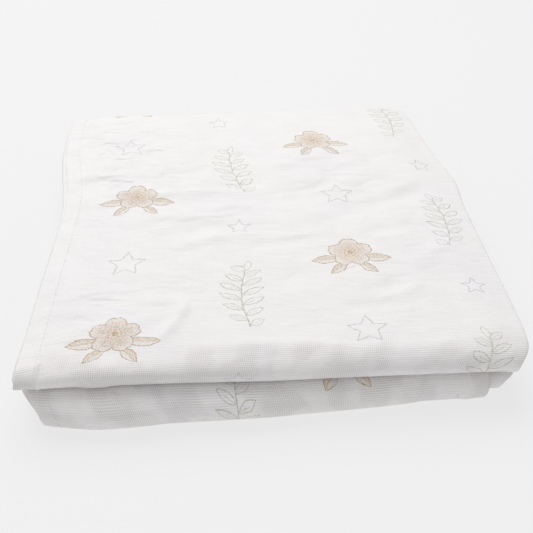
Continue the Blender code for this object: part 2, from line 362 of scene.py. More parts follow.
def spread(x, s, v):
    """Bring the strip to its section, and fan its plies at the right."""
    place = place_of(v)
    left, right, fan = (read(SECTIONS, edge, place) * MM for edge in ("left", "right", "fan"))
    share = (x + STRIP_HALF) / (2 * STRIP_HALF)
    inner_pair = smooth(0.5 - s / AIR)  # 1 on the two plies nearer the leaf's inside
    opening = smooth((share - FAN_START) / (1 - FAN_START))
    return left + (right - left) * share + fan * inner_pair * opening


def slump(x, y):
    """How far the top of the pile rises or droops at a place."""
    top = CROWN * np.cos(x / STRIP_HALF) * np.cos(y / STRIP_HALF)
    for droop in DROOPS:
        inside = droop.edge * MM - droop.side[0] * x - droop.side[1] * y
        top = top - droop.drop * MM * (1 - smooth(inside / (droop.band * MM)))
    for swell in SWELLS:
        away = np.hypot(x - swell.x * MM, y - swell.y * MM)
        top = top + swell.height * MM * (1 - smooth(away / (swell.radius * MM)))
    return top


def settle(x, y, z):
    """Shift the rolls and the back turn, move the groove and let the pile slump."""
    lower, upper, groove, back = (read(STATIONS, edge, x / MM) * MM
                                  for edge in ("lower", "upper", "groove", "back"))
    rise = smooth((z - GROOVE_LOW) / (GROOVE_HIGH - GROOVE_LOW))
    front_share = 1 - smooth((y - FRONT_CENTRE) / EDGE_FADE)
    back_share = 1 - smooth((BACK_CENTRE - y) / EDGE_FADE)
    y = y + front_share * (lower + (upper - lower) * rise) + back_share * back
    share = np.minimum(z / HEIGHT, 1)
    return x, y, z + groove * np.sin(math.pi * share) + slump(x, y) * share


def crease_field(creases, x, w):
    """Height of the cloth over its smooth shape, in mm, where creases cross (x, w) mm."""
    height = np.zeros_like(x)
    for crease in creases:
        run_x, run_w = crease.x1 - crease.x0, crease.w1 - crease.w0
        length = math.hypot(run_x, run_w)
        t = ((x - crease.x0) * run_x + (w - crease.w0) * run_w) / length ** 2
        aside = ((x - crease.x0) * -run_w + (w - crease.w0) * run_x) / length
        aside = aside - crease.bow * 4 * t * (1 - t)
        off_middle = np.abs(t - 0.5)
        beyond = np.maximum(off_middle - 0.5, 0) * length / crease.wide
        # full over the middle two fifths of its length, and half at its ends
        taper = smooth(1.35 - 1.7 * off_middle)
        profile = np.exp(-(aside / crease.wide) ** 2 - beyond ** 2)
        height = height + crease.high * profile * taper
    return height


def slack(x, w):
    """How slack the gauze lies at (x, w) mm of the top."""
    return SLACK_ELSEWHERE + sum(
        patch.share * smooth(1 - np.hypot(x - patch.x, w - patch.w) / patch.radius)
        for patch in SLACK_PATCHES)


def crinkles():
    """Small random creases of the top, climbing a little to the right."""
    rng = np.random.default_rng(CRINKLE.seed)
    found = []
    for _ in range(CRINKLE.count):
        x, w = rng.uniform(*CRINKLE.x), rng.uniform(*CRINKLE.w)
        half, turn = rng.uniform(*CRINKLE.half_long), math.radians(rng.normal(*CRINKLE.turn))
        dx, dw = half * math.cos(turn), half * math.sin(turn)
        wide, way = rng.uniform(*CRINKLE.wide), rng.choice((-1, 1))
        high = way * rng.uniform(*CRINKLE.high) * slack(x, w)
        bow = rng.uniform(*CRINKLE.bow)
        found.append(Crease(x - dx, w - dw, x + dx, w + dw, wide, high, bow))
    return found


def felt(reach, at):
    """1 within a reach and 0 outside it, eased at its ends."""
    return smooth((at - reach.first) / reach.fade_in) * smooth((reach.last - at) / reach.fade_out)


def relief(x, v, s):
    """How far out the creases move a point of the strip."""
    sets = (
        ([*TOP_CREASES, *crinkles()], TOP_REACH, v - TOP_START),
        (LOWER_CREASES, LOWER_REACH, v - LOWER_ROLL_MIDDLE),
        (BACK_CREASES, BACK_REACH, BACK_MIDDLE - v),
    )
    height = 0.0
    for creases, reach, w in sets:
        height = height + crease_field(creases, x / MM, w / MM) * felt(reach, w / MM)
    share = smooth((s + LEAF_HALF) / (2 * LEAF_HALF))
    return height * MM * share


def edge_wave(s, v):
    """How far the inner plies' side edges wander in and out."""
    total = sum(wave.reach * np.sin(v / MM / wave.along + s / MM / wave.through) for wave in EDGE_WAVES)
    return total * MM * smooth((LEAF_HALF - s) / LEAF_HALF)


def hem_line(u, v):
    """Distance from a point of the flat cloth to its nearest edge."""
    return np.minimum(np.minimum(u, WIDTH - u), np.minimum(v, LENGTH - v))


def in_hem(edge):
    """1 on the hem and 0 past it, by the distance from the cloth's edge."""
    return 1 - smooth((edge - HEM) / HEM_STEP)


def hill(at, middle, wide):
    """A smooth hill, 1 at its middle, whose half width is wide."""
    return np.exp(-((at - middle) / wide) ** 2)


def resting(v):
    """1 where the strip lies on its surface, at the bottom leaf."""
    start, fade = run_start("leaf C, the bottom"), 8 * MM
    return felt(Reach(start - fade, start + BOOK + fade, fade, fade), v)


def stretch_and_shade(u, v):
    """How far the gauze stretches round a front roll, which opens its weave, plus painted shade: darker
    gaps on the lower roll and the hem's tab.
    """
    found = TAB_SHADE * felt(TAB_REACH, (v - TOP_START) / MM) * in_hem(u)
    for run in RUNS:
        aside = np.abs(v - run_start(run.name) - run.length / 2) - run.length / 2
        found = found + ROLL_STRETCH_AND_SHADE.get(run.name, 0.0) * smooth(1 - aside / STRETCH_FADE)
    return found


def hem_relief(u, v, stitch_in):
    """How far the hem, its puckers and its stitches move the printed side."""
    edge, w = hem_line(u, v), (v - TOP_START) / MM
    lift = HEM_LIFT * in_hem(edge) * (1 - resting(v))
    dip = STITCH_DIP * hill(edge, stitch_in, STITCH_DIP_WIDE)
    held = hill(edge / HEM, PUCKER_MIDDLE, PUCKER_HALF) * (u < PANEL)
    puckered = sum(pucker.deep * MM * hill(w, pucker.w, pucker.wide) for pucker in PUCKERS)
    tab = sum(high * MM * hill(w, middle, wide) for middle, wide, high in TAB_BENDS)
    return lift - dip - puckered * held + tab * in_hem(u)


def tab_flare(u, v):
    """How far the outer hem stands out to the left, under the upper front roll."""
    middle, wide, reach = TAB_FLARE
    under = hill((v - TOP_START) / MM, middle, wide)
    return reach * MM * under * (1 - smooth(u / (2 * HEM)))


def fold(u, v, out, stitch_in):
    """Points of the flat cloth, out from its middle, to their places in the bundle."""
    x, s = across(u, out + hem_relief(u, v, stitch_in))
    placed = spread(x, s, v)
    near_edge = smooth((np.abs(x) - STRIP_HALF) / EDGE_WAVE_FADE + 1)
    placed = placed + np.sign(x) * edge_wave(s, v) * near_edge - tab_flare(u, v)
    y, z = along(v, s + relief(placed, v, s))
    points = np.stack(settle(placed, y, z), axis=-1) - np.array(FOOTPRINT)
    points[..., 2] = np.maximum(points[..., 2], 0)
    return points


def lines(stretches, stitch_in):
    """Distances of the lines that divide (length, cell) stretches, hems included."""
    found = [0.0]
    for length, cell in stretches:
        count = max(round(length / cell), 1)
        start = found[-1]
        found += [start + length * (k + 1) / count for k in range(count)]
    side = found[-1]
    dip = [stitch_in + k * DIP_CELL for k in (-2, -1, 0, 1)]
    hem = [0.0, HEM_ROUND / 2, HEM_ROUND, *dip, HEM, HEM + HEM_STEP / 2, HEM + HEM_STEP]
    hem += [side - at for at in hem]
    clear = [at for at in found if min(abs(at - line) for line in hem) > LEAST_CELL]
    return np.array(sorted(clear + hem))


def columns(stitch_in):
    """Lines across the cloth, fine on the panel that shows."""
    pleat = (FOLD_ARC, FOLD_ARC / PLEAT_CELLS)
    inside = [pleat, (PANEL, WIDE)] * (PLIES - 1)
    return lines([(PANEL, FINE), *inside], stitch_in)


def rows(stitch_in):
    """Lines along the cloth, fine where it shows and near the groove."""
    near_groove = (NEAR_GROOVE, 2 * FINE)
    stretches = []
    for run in RUNS:
        if run.name.startswith("leaf A"):
            stretches += [(run.length - NEAR_GROOVE, run.cells), near_groove]
        elif run.name.startswith("leaf D"):
            stretches += [near_groove, (run.length - NEAR_GROOVE, run.cells)]
        else:
            stretches.append((run.length, run.cells))
    return lines(stretches, stitch_in)


def new_mesh(name, points, faces):
    """A smooth mesh of these points and faces."""
    mesh = bpy.data.meshes.new(name)
    mesh.from_pydata(points, [], faces)
    mesh.validate()
    mesh.shade_smooth()
    return mesh


def closed_sheet(name, outer, inner):
    """Mesh of two grids of points, faces out, joined round their borders."""
    deep, wide = outer.shape[:2]
    number = np.arange(deep * wide).reshape(deep, wide)
    corners = (number[:-1, :-1], number[:-1, 1:], number[1:, 1:], number[1:, :-1])
    quads = np.stack(corners, -1).reshape(-1, 4)
    rim = np.concatenate((number[0, :-1], number[:-1, -1], number[-1, :0:-1], number[:0:-1, 0]))
    ahead, under = np.roll(rim, -1), deep * wide
    walls = np.stack((rim, rim + under, ahead + under, ahead), -1)
    faces = np.concatenate((quads, quads[:, ::-1] + under, walls))
    points = np.concatenate((outer.reshape(-1, 3), inner.reshape(-1, 3)))
    return new_mesh(name, points.tolist(), faces.tolist())


def record_cloth(mesh, flat, marks):
    """Keep each point's place on the flat cloth, and its marks."""
    layer = mesh.uv_layers.new(name=CLOTH_MAP)
    loops = np.empty(len(mesh.loops), np.int32)
    mesh.loops.foreach_get("vertex_index", loops)
    layer.uv.foreach_set("vector", flat[loops].astype(np.float32).ravel())
    for name, values in marks.items():
        mark = mesh.attributes.new(name, "FLOAT", "POINT")
        mark.data.foreach_set("value", values.astype(np.float32))


def add_object(name, data):
    """A new object of the scene."""
    made = bpy.data.objects.new(name, data)
    bpy.context.scene.collection.objects.link(made)
    return made


def add_piece(name, mesh, material):
    """A new object of the scene with that mesh and material."""
    mesh.materials.append(material)
    return add_object(name, mesh)


def muslin_sheet(cloth):
    """The hemmed sheet as a closed mesh in its folds."""
    us, vs = columns(cloth.stitch_in), rows(cloth.stitch_in)
    u, v = np.meshgrid(us, vs)
    edge = hem_line(u, v)
    outward = 1 - np.clip(edge / HEM_ROUND, 0, 1)
    rounding = np.maximum(np.sqrt(1 - outward ** 2), LEAST_EDGE)
    outer = fold(u, v, PLY / 2 * rounding, cloth.stitch_in)
    inner = fold(u, v, -(PLY / 2 + HEM_EXTRA * in_hem(edge)) * rounding, cloth.stitch_in)
    mesh = closed_sheet("muslin_blanket", outer, inner)
    flat = np.tile(np.stack((u, own_length(u, v)), -1).reshape(-1, 2), (2, 1))
    slackness = slack((u - PANEL / 2) / MM, (v - TOP_START) / MM)
    record_cloth(mesh, flat, {
        PRINTED: np.repeat((1.0, SHOWS_THROUGH), u.size),
        STRETCHED_AND_SHADED: np.tile(stretch_and_shade(u, v).ravel(), 2),
        SLACK: np.tile(slackness.ravel(), 2),
    })
    return mesh


# ---- the hem's stitches

# Along a stitch: share of its length, its thickness and its height, in the thread's radius.
STITCH_SECTIONS = ((0.0, 0.35, -0.6), (0.2, 0.9, 0.35), (0.5, 1.0, 0.55),
                   (0.8, 0.9, 0.35), (1.0, 0.35, -0.6))
STITCH_SIDES = 5
STITCH_SWAY = 0.12 * MM  # how far a stitch's ends stray from the line
STITCH_SEED = 3


def stitch_mesh(cloth):
    """The hem's stitches: short round threads that dip into the cloth at their ends."""
    radius = cloth.thread / 2
    pitch = cloth.stitch + cloth.stitch_gap
    rng = np.random.default_rng(STITCH_SEED)
    turns = np.arange(STITCH_SIDES) / STITCH_SIDES * 2 * math.pi
    inset = cloth.stitch_in
    seams = (("v", inset, LENGTH), ("v", WIDTH - inset, LENGTH),
             ("u", inset, WIDTH), ("u", LENGTH - inset, WIDTH))
    us, vs, outs = [], [], []
    for way, line, side in seams:
        for begin in np.arange(inset, side - inset - cloth.stitch, pitch):
            sway = rng.normal(0, STITCH_SWAY, 2)
            for share, thick, lift in STITCH_SECTIONS:
                aside = line + sway[0] + (sway[1] - sway[0]) * share + radius * thick * np.cos(turns)
                ahead = np.full(STITCH_SIDES, begin + share * cloth.stitch)
                us.append(aside if way == "v" else ahead)
                vs.append(ahead if way == "v" else aside)
                outs.append(PLY / 2 + radius * (lift + thick * np.sin(turns)))
    points = fold(*(np.concatenate(part) for part in (us, vs, outs)), inset)
    count, ring = len(STITCH_SECTIONS), STITCH_SIDES
    faces = []
    for first in range(0, len(points), count * ring):
        for k in range(count - 1):
            for j in range(ring):
                a, b = first + k * ring + j, first + k * ring + (j + 1) % ring
                faces.append((a, b, b + ring, a + ring))
        faces.append(tuple(range(first + ring - 1, first - 1, -1)))
        faces.append(tuple(range(first + (count - 1) * ring, first + count * ring)))
    return new_mesh("hem_stitches", points.tolist(), faces)


# ---- shader maths


def fill(node, sockets):
    """Set a node's sockets to values or link them to Shades."""
    for name, value in sockets.items():
        if isinstance(value, Shade):
            node.id_data.links.new(value.socket, node.inputs[name])
        else:
            node.inputs[name].default_value = value


def both_ways(operation):
    """An operator of Shade that adds that Math node, and its reflected form."""
    def plain(self, other):
        return self.maths(operation, self, other)

    def reflected(self, other):
        return self.maths(operation, other, self)

    return plain, reflected


class Shade:
    """A node socket that Python's operators work on: each adds its Math node."""

    def __init__(self, tree, socket=None):
        self.tree, self.socket = tree, socket

    def node(self, kind, settings=None, sockets=None, output=0):
        """Add a node of that type, with its settings and its sockets' values or links."""
        made = self.tree.nodes.new(kind)
        for name, value in (settings or {}).items():
            setattr(made, name, value)
        fill(made, sockets or {})
        return Shade(self.tree, made.outputs[output])

    def output(self, name):
        """Another output of the same node."""
        return Shade(self.tree, self.socket.node.outputs[name])

    def maths(self, operation, *values):
        """A Math node on these values."""
        return self.node("ShaderNodeMath", {"operation": operation}, dict(enumerate(values)))

    __add__, __radd__ = both_ways("ADD")
    __sub__, __rsub__ = both_ways("SUBTRACT")
    __mul__, __rmul__ = both_ways("MULTIPLY")
    __truediv__, __rtruediv__ = both_ways("DIVIDE")
    __pow__, __rpow__ = both_ways("POWER")
    __mod__, __rmod__ = both_ways("FLOORED_MODULO")
    __or__, __ror__ = both_ways("MAXIMUM")  # where either mask is
    __and__, __rand__ = both_ways("MULTIPLY")  # where both masks are

    def __abs__(self):
        return self.maths("ABSOLUTE", self)

    def floor(self):
        return self.maths("FLOOR", self)

    def sin(self):
        return self.maths("SINE", self)

    def cos(self):
        return self.maths("COSINE", self)

    def ramp(self, low, high):
        """0 below low and 1 above high, or the other way round if low is larger."""
        limits = {"Value": self, "From Min": low, "From Max": high}
        return self.node("ShaderNodeMapRange", {"interpolation_type": "SMOOTHSTEP"}, limits)


def mixed(share, one, other):
    """One colour, given or drawn, mixed with another by share."""
    sockets = {"Factor": share, 6: one if isinstance(one, Shade) else (*one, 1), 7: (*other, 1)}
    return share.node("ShaderNodeMix", {"data_type": "RGBA"}, sockets, output=2)


def noise(shade, place, scale, detail=2.0, output="Fac"):
    """A noise of the flat cloth, about 0.5, with that many waves a metre."""
    sockets = {"Vector": place, "Scale": scale, "Detail": detail}
    return shade.node("ShaderNodeTexNoise", {"noise_dimensions": "2D"}, sockets, output)


def stretched_noise(u, v, across_mm, along_mm, detail=1.0):
    """A noise whose patches are that wide across and along the cloth."""
    place = u.node("ShaderNodeCombineXYZ", None, {"X": u / across_mm, "Y": v / along_mm})
    return noise(u, place, 1.0, detail)


# Patches of the cloth: the waves a metre and the detail of their noise, and where in that
# noise they start and are full.
Patches = namedtuple("Patches", "scale detail low high")


def patches(shade, place, kind):
    """1 in patches of the flat cloth and 0 between them, with soft edges."""
    return noise(shade, place, kind.scale, kind.detail).ramp(kind.low, kind.high)


def turned(x, y, degrees):
    """x and y measured along and across a line at that angle from x."""
    c, s = math.cos(math.radians(degrees)), math.sin(math.radians(degrees))
    return x * c + y * s, y * c - x * s


# ---- the print

EDGE_SOFT = 0.22  # half the soft edge of a printed line, in mm
PRINT_START = (52, 31)  # where the half-drop repeat starts on the flat cloth, in mm

# The motifs are drawn in mm from their middles. LINE is half the width of each line; a pair
# is from and to, or from the palest to the strongest; turn is in degrees.
LINE = {"petal": 0.42, "vein": 0.14, "leaf": 0.38, "rib": 0.2, "star": 0.4,
        "stem": 0.36, "sprig leaf": 0.32, "sprig rib": 0.17, "bud": 0.27}
ROSE = SimpleNamespace(
    scale=0.88, rise=4.0, petals=5, petal_out=9.8, half_long=7.9, half_wide=7.0, mean=7.4,
    notch_half=2.6, notch_deep=1.5, veins=(6.5, 12.5), veins_meet=3.0, veins_part=0.26,
    stamens=11, stamen_out=4.6, stamen_dot=0.5, eye=(1.3, 2.0), blush=(18, 2), blush_share=0.5,
    leaf_share=0.4, least_share=0.35, rib_soft=0.3, rib_short=1.5,
    leaves=((8, -3, -6, 23, 4.6), (5, -9, -46, 18, 3.9)))  # x, y, turn, length, half width
SPRIG = SimpleNamespace(
    step=10.0, bow=0.005, stem=(-32, 26), stagger=2.5, leaf_up=1.8, leaf_turn=29, leaf_half=2.5,
    longest=17, shorter=2.2, rib=9, steps=2.6, half_long=35.5, bud_up=25, bud_long=10, bud_half=2.2)
STAR_POINTS = 5
STAR_INNER = 0.47  # the radius of its inner corners, as a share of its outer ones
FILL_SHARE = 0.95  # of the ink, in the fills


def within(distance, limit):
    """1 where distance, in mm, is less than the limit, with the print's soft edge."""
    return distance.ramp(limit + EDGE_SOFT, limit - EDGE_SOFT)


def stroke(distance, line):
    """1 on that printed line, by the distance from its middle."""
    return within(abs(distance), LINE[line])


def between(distance, low, high):
    """1 where distance is between low and high."""
    return within(abs(distance - (low + high) / 2), (high - low) / 2)


def nearest_ray(x, y, count):
    """x and y measured along and across the nearest of so many rays from the middle."""
    half = math.pi / count
    reach = (x * x + y * y) ** 0.5
    turn = (x.maths("ARCTAN2", x, y) + half) % (2 * half) - half
    return reach * turn.cos(), reach * turn.sin()


def repeat_place(u, v, pitch, share_u, share_v):
    """Distances from the nearest motif's middle, at that share of a half-drop repeat."""
    shifted = u / pitch - (PRINT_START[0] / pitch + share_u - 0.5)
    column = shifted.floor()
    x = (shifted - column - 0.5) * pitch
    up = v / pitch + (column * 0.5 - (PRINT_START[1] / pitch + share_v - 0.5))
    mirrored = 1 - (column % 2) * 2
    return x * mirrored, (up - up.floor() - 0.5) * pitch


def leaf_shape(along_leaf, across_leaf, length, half):
    """How far a place is from a pointed leaf's edge, less than 0 inside it."""
    t = along_leaf / length
    return abs(across_leaf) - t * (1 - t) * (4 * half)


def wild_rose(x, y):
    """A wild rose between four leaves: the petals' fill, the leaves' and the lines."""
    x, y = x / ROSE.scale, y / ROSE.scale
    a, b = nearest_ray(x, y - ROSE.rise, ROSE.petals)
    notched = a + ((1 - abs(b) / ROSE.notch_half) | 0) * ROSE.notch_deep
    lengthways = (notched - ROSE.petal_out) / ROSE.half_long
    oval = (lengthways ** 2 + (b / ROSE.half_wide) ** 2) ** 0.5
    off = oval * ROSE.mean - ROSE.mean
    petal = within(off, 0)
    side_vein = stroke(abs(b) - (a - ROSE.veins_meet) * ROSE.veins_part, "vein")
    veins = (stroke(b, "vein") | side_vein) & between(a, *ROSE.veins)
    a_near, b_near = nearest_ray(x, y - ROSE.rise, ROSE.stamens)
    dots = within(((a_near - ROSE.stamen_out) ** 2 + b_near ** 2) ** 0.5, ROSE.stamen_dot)
    blush = petal & (a.ramp(*ROSE.blush) * ROSE.blush_share + ROSE.least_share)
    leaves, lines_drawn = x * 0, stroke(off, "petal") | veins | dots | between(a_near, *ROSE.eye)
    for base_x, base_y, turn, length, half in ROSE.leaves:
        along_leaf, across_leaf = turned(abs(x) - base_x, y - base_y, turn)
        leaf = leaf_shape(along_leaf, across_leaf, length, half)
        rib = stroke(across_leaf, "rib") & between(along_leaf, 0, length - ROSE.rib_short)
        one_side = across_leaf.ramp(-ROSE.rib_soft, ROSE.rib_soft)
        leaves = leaves | (within(leaf, 0) & (one_side * ROSE.leaf_share + ROSE.least_share))
        lines_drawn = lines_drawn | ((stroke(leaf, "leaf") | rib) & (1 - petal))
    return blush, leaves & (1 - petal), lines_drawn


def sprig(x, y):
    """A sprig of small leaves in outline."""
    bowed = x - y * y * SPRIG.bow
    stem = stroke(bowed, "stem") & between(y, *SPRIG.stem)
    side = bowed.maths("SIGN", bowed)
    up = (y + side * SPRIG.stagger) / SPRIG.step
    step = up.floor()
    above = (up - step) * SPRIG.step - SPRIG.leaf_up
    along_leaf, across_leaf = turned(abs(bowed), above, SPRIG.leaf_turn)
    long = SPRIG.longest - abs(step + 0.5) * SPRIG.shorter
    leaf = leaf_shape(along_leaf, across_leaf, long, SPRIG.leaf_half)
    rib = stroke(across_leaf, "sprig rib") & within(along_leaf, SPRIG.rib)
    leaves = (stroke(leaf, "sprig leaf") | rib) & within(abs(step + 0.5), SPRIG.steps)
    bud = leaf_shape(y - SPRIG.bud_up, bowed, SPRIG.bud_long, SPRIG.bud_half)
    return (leaves | stem | stroke(bud, "bud")) & within(abs(y), SPRIG.half_long)


def star(x, y, radius):
    """A five-pointed star in outline."""
    a, b = nearest_ray(x, y, STAR_POINTS)
    point, inner = math.pi / STAR_POINTS, STAR_INNER * radius
    run_a, run_b = inner * math.cos(point) - radius, inner * math.sin(point)
    length = math.hypot(run_a, run_b)
    return stroke((a - radius) * (run_b / length) - abs(b) * (run_a / length), "star")


def printed_on(bare, u, v, prints, ink):
    """The bare cloth's colour with the print on it, as strong as the ink."""
    pitch, star_wide = prints.repeat / MM, prints.star / MM
    blush, leaves, lines_drawn = wild_rose(*repeat_place(u, v, pitch, 0, 0))
    sprigs = sprig(*repeat_place(u, v, pitch, 0.5, 0.25))
    stars = star(*repeat_place(u, v, pitch, 0, 0.5), star_wide / 2)
    small = star(*repeat_place(u, v, pitch, 0.5, 0.75), star_wide / 3)
    layers = ((blush & ink & FILL_SHARE, prints.tan), (leaves & ink & FILL_SHARE, prints.ochre),
              (lines_drawn & ink, prints.tan_line), (sprigs & ink, prints.sage),
              ((stars | small) & ink, prints.lavender))
    for share, colour_laid in layers:
        bare = mixed(share, bare, colour_laid)
    return bare


# ---- the gauze and the thread

UPRIGHT_PATCHES = Patches(24, 1.0, 0.36, 0.54)  # more painted shade in the warp gaps and less in the weft gaps
OPEN_PATCHES = Patches(42, 2.0, 0.38, 0.66)
COOL_PATCHES = Patches(16, 2.0, 0.45, 0.7)
INK_PATCHES = Patches(900, 2.0, 0.34, 0.62)
LEAST_INK = 0.3
WANDER = SimpleNamespace(scale=170.0, reach=2.0)  # of the printed lines: waves a metre, mm
# Shares of the weave: its height that is the weft's, how much the gaps' painted shade shows,
# and what that changes by in the upright patches; drift is in threads.
WEAVE = SimpleNamespace(
    weft=0.66, drift=0.7, drift_scale=30, weft_gaps=0.3, weft_gaps_less=0.16, warp_gaps=0.05,
    warp_gaps_more=0.2, least_open=0.55, unstretched=0.15)
# Slubs: their length in mm, and their shares of the gaps' painted shade colour and of the weave's height.
SLUB = SimpleNamespace(long=20, grey=0.3, high=0.4)
# The bump's swells, crinkles and long soft troughs: their size across and along the cloth,
# in mm, and the heights of the swells and the troughs as shares of a crinkle's.
SWELL_SIZE, SWELL_HIGH = (55, 26), 4.0
CRINKLE_SIZE = (26, 12)
TROUGH_DEEP = 0.8
Troughs = namedtuple("Troughs", "angle across along start deep")
TROUGHS = rows_of(Troughs, (8, 60, 17, 0.47, 1.0), (-6, 45, 13, 0.47, 0.9))
TROUGH_HALF = 0.2  # half a trough's width, in the noise that draws it
# Waves a metre of the noise that groups them, and the soft edge of a group in it.
GROUP_SCALE, GROUP_EDGE = 26, 0.16


def weave(u, v, pitch, place, stretched):
    """The gauze's threads, from -1 to 1, and how much painted shade shows in the gaps between them."""
    drift = noise(u, place, WEAVE.drift_scale, 1.0) * WEAVE.drift
    weft = ((v / pitch + drift) * (2 * math.pi)).sin()
    warp = ((u / pitch + drift) * (2 * math.pi)).sin()
    upright = patches(u, place, UPRIGHT_PATCHES)
    weft_gaps = (1 - weft) * (WEAVE.weft_gaps - upright * WEAVE.weft_gaps_less)
    gaps = weft_gaps + (1 - warp) * (upright * WEAVE.warp_gaps_more + WEAVE.warp_gaps)
    opened = patches(u, place, OPEN_PATCHES) + WEAVE.least_open
    shown = gaps * opened * (stretched * (1 - WEAVE.unstretched) + WEAVE.unstretched)
    return weft * WEAVE.weft + warp * (1 - WEAVE.weft), shown


def soft_troughs(u, v, place):
    """Depth of long soft troughs in loose groups, mostly across the cloth."""
    found = u * 0
    for kind in TROUGHS:
        drawn = stretched_noise(*turned(u, v, kind.angle), kind.across, kind.along)
        trough = abs(drawn - 0.5).ramp(TROUGH_HALF, 0)
        group = Patches(GROUP_SCALE + kind.angle, 1.0, kind.start, kind.start + GROUP_EDGE)
        found = found + (trough & patches(u, place, group)) * kind.deep
    return found


def new_material(name):
    """A new material, its shader, and a Shade to add its other nodes from."""
    material = bpy.data.materials.new(name)
    material.use_nodes = True
    tree = material.node_tree
    return material, tree.nodes["Principled BSDF"], Shade(tree)


def muslin_material(cloth, prints):
    """White cotton gauze with its weave, small crinkles and a pale print."""
    material, shader, start = new_material("printed muslin")
    place = start.node("ShaderNodeUVMap", {"uv_map": CLOTH_MAP})
    split = place.node("ShaderNodeSeparateXYZ", None, {"Vector": place})
    u, v = split / MM, split.output("Y") / MM
    printed, stretched, slackness = (
        start.node("ShaderNodeAttribute", {"attribute_name": name}, output="Fac")
        for name in (PRINTED, STRETCHED_AND_SHADED, SLACK))

    # The printed lines wander a little, and the ink lies unevenly.
    wander = noise(start, place, WANDER.scale, output="Color")
    sway = wander.node("ShaderNodeSeparateColor", None, {"Color": wander})
    drawn_u = u + (sway - 0.5) * WANDER.reach
    drawn_v = v + (sway.output("Green") - 0.5) * WANDER.reach
    ink = (patches(start, place, INK_PATCHES) * (1 - LEAST_INK) + LEAST_INK) & printed

    thread_pitch = cloth.thread_pitch / MM
    raised, gaps = weave(u, v, thread_pitch, place, stretched)
    slubs = stretched_noise(u, v, SLUB.long, thread_pitch)
    mottled = mixed(patches(start, place, COOL_PATCHES), cloth.colour, cloth.cool_colour)
    # Painted shade: the gaps between the threads are darkened towards the gap colour, more where the
    # gauze stretches open, on the lower front roll and on the hem's tab.
    woven = mixed(gaps + slubs * SLUB.grey, mottled, cloth.gap_shade_colour)

    swells = stretched_noise(u, v, *SWELL_SIZE) * SWELL_HIGH
    crinkles_drawn = swells + stretched_noise(u, v, *CRINKLE_SIZE, detail=2.0)
    crinkled = (crinkles_drawn - soft_troughs(u, v, place) * TROUGH_DEEP) * slackness
    threads = (raised + slubs * SLUB.high) * (cloth.weave_depth / MM)
    height = crinkled * (cloth.crinkle / MM) + threads
    fill(shader, {
        "Base Color": printed_on(woven, drawn_u, drawn_v, prints, ink),
        "Roughness": slubs * 0.12 + 0.86,
        "Normal": start.node("ShaderNodeBump", None, {"Strength": 1.0, "Distance": MM, "Height": height}),
        "Specular IOR Level": 0.15,
        "Sheen Weight": 0.25,
        "Sheen Roughness": 0.6,
    })
    return material


def thread_material(cloth):
    """Twisted cotton sewing thread."""
    material, shader, start = new_material("sewing thread")
    place = start.node("ShaderNodeTexCoord", output="Object")
    twist = start.node("ShaderNodeTexWave", {"bands_direction": "DIAGONAL"},
                       {"Vector": place, "Scale": 900.0, "Distortion": 1.0}, output="Fac")
    bump = {"Strength": 0.6, "Distance": 0.1 * MM, "Height": twist}
    fill(shader, {
        # Bands along the twist are darkened towards the gauze's painted gap shade.
        "Base Color": mixed(twist * 0.4, cloth.thread_colour, cloth.gap_shade_colour),
        "Roughness": twist * 0.15 + 0.7,
        "Normal": start.node("ShaderNodeBump", None, bump),
        "Sheen Weight": 0.2,
    })
    return material


# ---- the stage

CAMERA_TARGET = Vector((7, -32, 20)) * MM - FOOTPRINT
CAMERA_DISTANCE = 531 * MM
SENSOR_WIDTH = 36  # mm, which the lens's focal length goes with
CAMERA_TURN = math.radians(-6.62)  # round from straight in front, towards the left
CAMERA_RISE = math.radians(39.55)  # above the horizon
CAMERA_ROLL = math.radians(1.78)
FLOOR_HALF = 4.0  # half its side, in metres, as are the next two
LAMP_SIZE = 1.5
LAMP_PLACE = Vector((-0.25, 0.6, 1.4))


def plain_material(name, colour, glow):
    """An even matt material, a little lit from within to soften shadows."""
    material, shader, _ = new_material(name)
    fill(shader, {
        "Base Color": (*colour, 1),
        "Roughness": 1.0,
        "Specular IOR Level": 0.0,
        "Emission Color": (1, 1, 1, 1),
        "Emission Strength": glow,
    })
    return material


def lay_floor(stage):
    """A wide plain floor under the blanket."""
    corners = [(-1, -1), (1, -1), (1, 1), (-1, 1)]
    mesh = new_mesh("floor", [(x * FLOOR_HALF, y * FLOOR_HALF, 0) for x, y in corners], [(0, 1, 2, 3)])
    floor = add_piece("floor", mesh, plain_material("pale floor", stage.floor_colour, stage.floor_glow))


def light_room(stage):
    """An even pale room and one wide lamp overhead, a little behind and to the left."""
    world = bpy.data.worlds.new("pale room")
    world.use_nodes = True
    background = world.node_tree.nodes["Background"]
    fill(background, {"Color": (*stage.room_colour, 1), "Strength": stage.room_light})
    bpy.context.scene.world = world
    lamp = bpy.data.lights.new("overhead lamp", "AREA")
    lamp.shape = "DISK"
    lamp.size = LAMP_SIZE
    lamp.energy = stage.lamp_power
    lamp.color = stage.lamp_colour
    holder = add_object("overhead lamp", lamp)
    holder.location = LAMP_PLACE
    holder.rotation_euler = LAMP_PLACE.to_track_quat("Z", "Y").to_euler()


def set_camera(stage):
    """The photograph's viewing angle."""
    camera = bpy.data.cameras.new("camera")
    camera.lens = stage.lens
    camera.sensor_width = SENSOR_WIDTH
    camera.clip_start = 0.01
    holder = add_object("camera", camera)
    aim = Matrix.Translation(CAMERA_TARGET)
    for angle, axis in ((CAMERA_TURN, "Z"), (math.pi / 2 - CAMERA_RISE, "X"), (CAMERA_ROLL, "Z")):
        aim = aim @ Matrix.Rotation(angle, 4, axis)
    holder.matrix_world = aim @ Matrix.Translation((0, 0, CAMERA_DISTANCE))
    bpy.context.scene.camera = holder


# ---- the add-on


